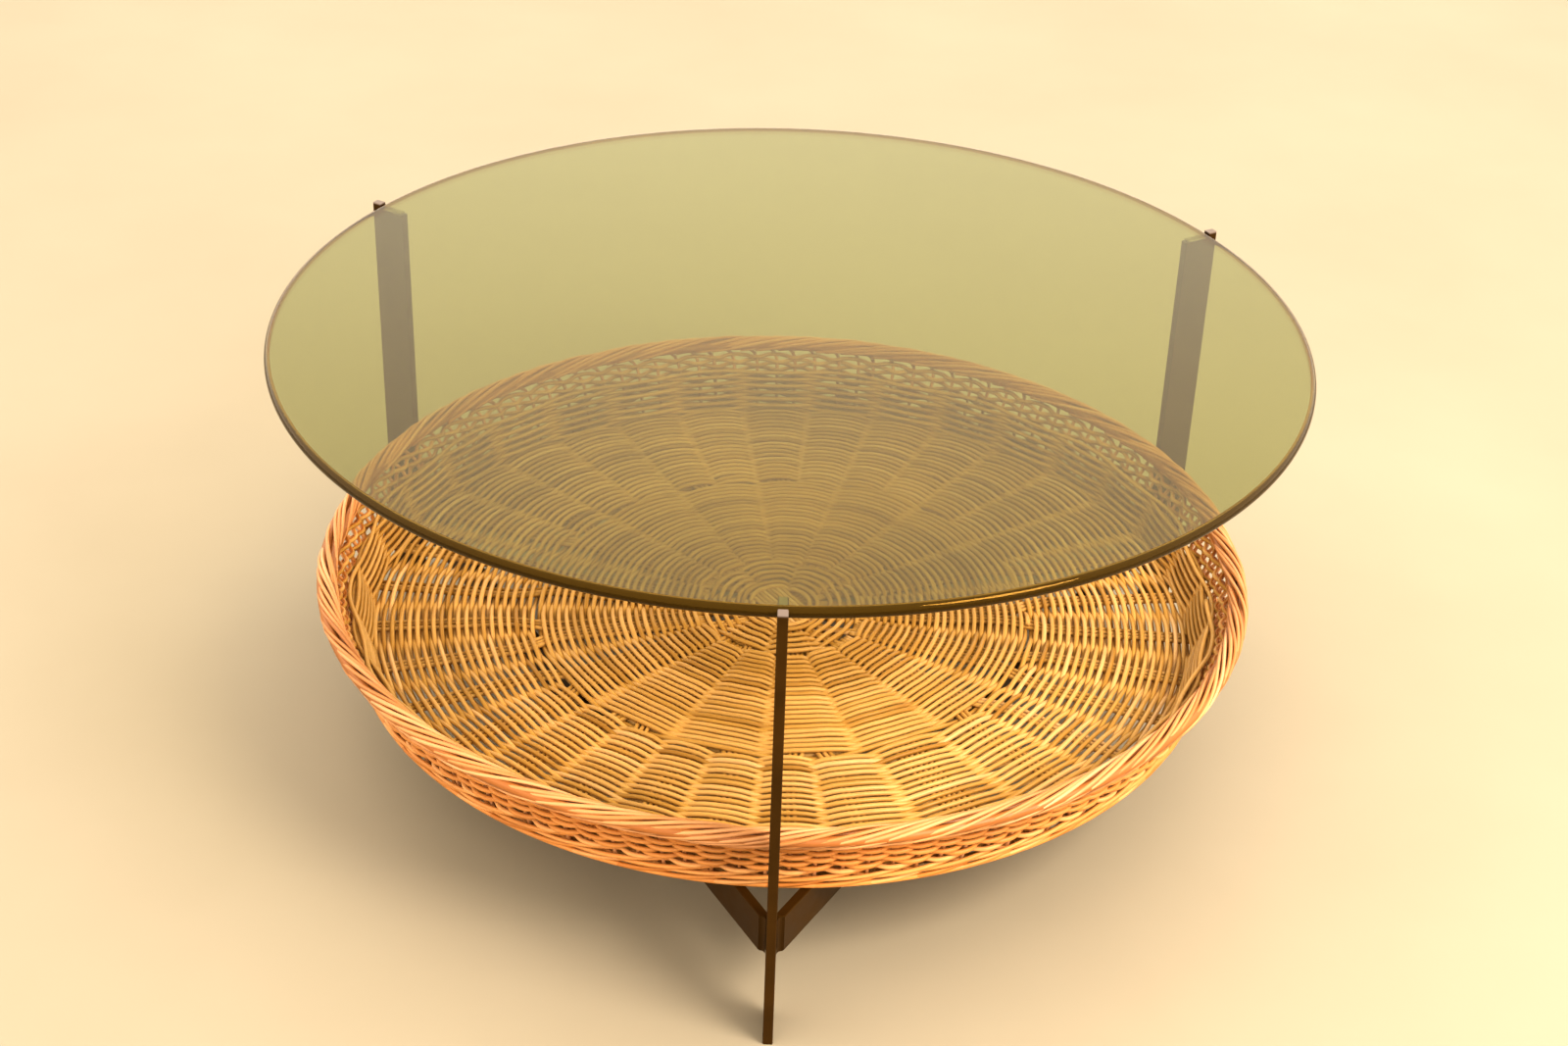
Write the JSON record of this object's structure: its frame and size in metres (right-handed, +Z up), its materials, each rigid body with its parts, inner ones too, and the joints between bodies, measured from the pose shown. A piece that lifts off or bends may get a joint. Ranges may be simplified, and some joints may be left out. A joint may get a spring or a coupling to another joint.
{
  "type": "round glass coffee table with a wicker basket shelf",
  "caption": "Low round coffee table: smoked glass disc on upright flat steel legs, with a wide shallow wicker basket standing on the rails between them.",
  "frame": {"origin": "on the floor, on the table's vertical axis, which is the axis of the glass and of the basket", "axes": "+Z up; one leg stands towards -Y and the other two at 30 and 150 degrees from +X"},
  "size_m": [0.9, 0.9095, 0.407],
  "materials": {
    "dark_steel": "thin dark brown-black paint on flat steel bar, half gloss, rubbed on the lips",
    "clear_pad": "soft translucent pad, slightly yellowed",
    "smoked_glass": "smoked olive-brown glass, polished, rounded edge",
    "willow_floor": "peeled willow rods, aged honey yellow, dull sheen",
    "willow_wall": "peeled willow rods, aged orange-pink, dull sheen",
    "willow_spokes": "peeled willow rods, aged honey brown, dull sheen"
  },
  "bodies": {
    "frame": {"leg_front": "dark_steel", "leg_back_right": "dark_steel", "leg_back_left": "dark_steel", "rail_right": "dark_steel", "rail_back": "dark_steel", "rail_left": "dark_steel", "weld_front_a": "dark_steel", "weld_front_b": "dark_steel", "weld_back_right_a": "dark_steel", "weld_back_right_b": "dark_steel", "weld_back_left_a": "dark_steel", "weld_back_left_b": "dark_steel", "glass_pad_front": "clear_pad", "glass_pad_back_right": "clear_pad", "glass_pad_back_left": "clear_pad"},
    "glass": {"glass_top": "smoked_glass"},
    "basket": {"basket_slath": "willow_floor", "basket_floor_inner": "willow_floor", "basket_floor_outer": "willow_floor", "basket_foot_wale": "willow_wall", "basket_wall": "willow_wall", "basket_border": "willow_wall", "basket_spokes_01": "willow_spokes", "basket_spokes_02": "willow_spokes", "basket_spokes_03": "willow_spokes", "basket_spokes_04": "willow_spokes", "basket_spokes_05": "willow_spokes", "basket_spokes_06": "willow_spokes", "basket_spokes_07": "willow_spokes", "basket_spokes_08": "willow_spokes", "basket_spokes_09": "willow_spokes", "basket_spokes_10": "willow_spokes", "basket_spokes_11": "willow_spokes", "basket_spokes_12": "willow_spokes", "basket_spokes_13": "willow_spokes", "basket_spokes_14": "willow_spokes", "basket_spokes_15": "willow_spokes", "basket_spokes_16": "willow_spokes", "basket_spokes_17": "willow_spokes"}
  },
  "joints": [
    {"name": "glass_lift", "type": "slide", "parent": "frame", "child": "glass", "axis": [0, 0, 1], "range_m": [0, 0.15]},
    {"name": "basket_lift", "type": "slide", "parent": "frame", "child": "basket", "axis": [0, 0, 1], "range_m": [0, 0.2]}
  ]
}
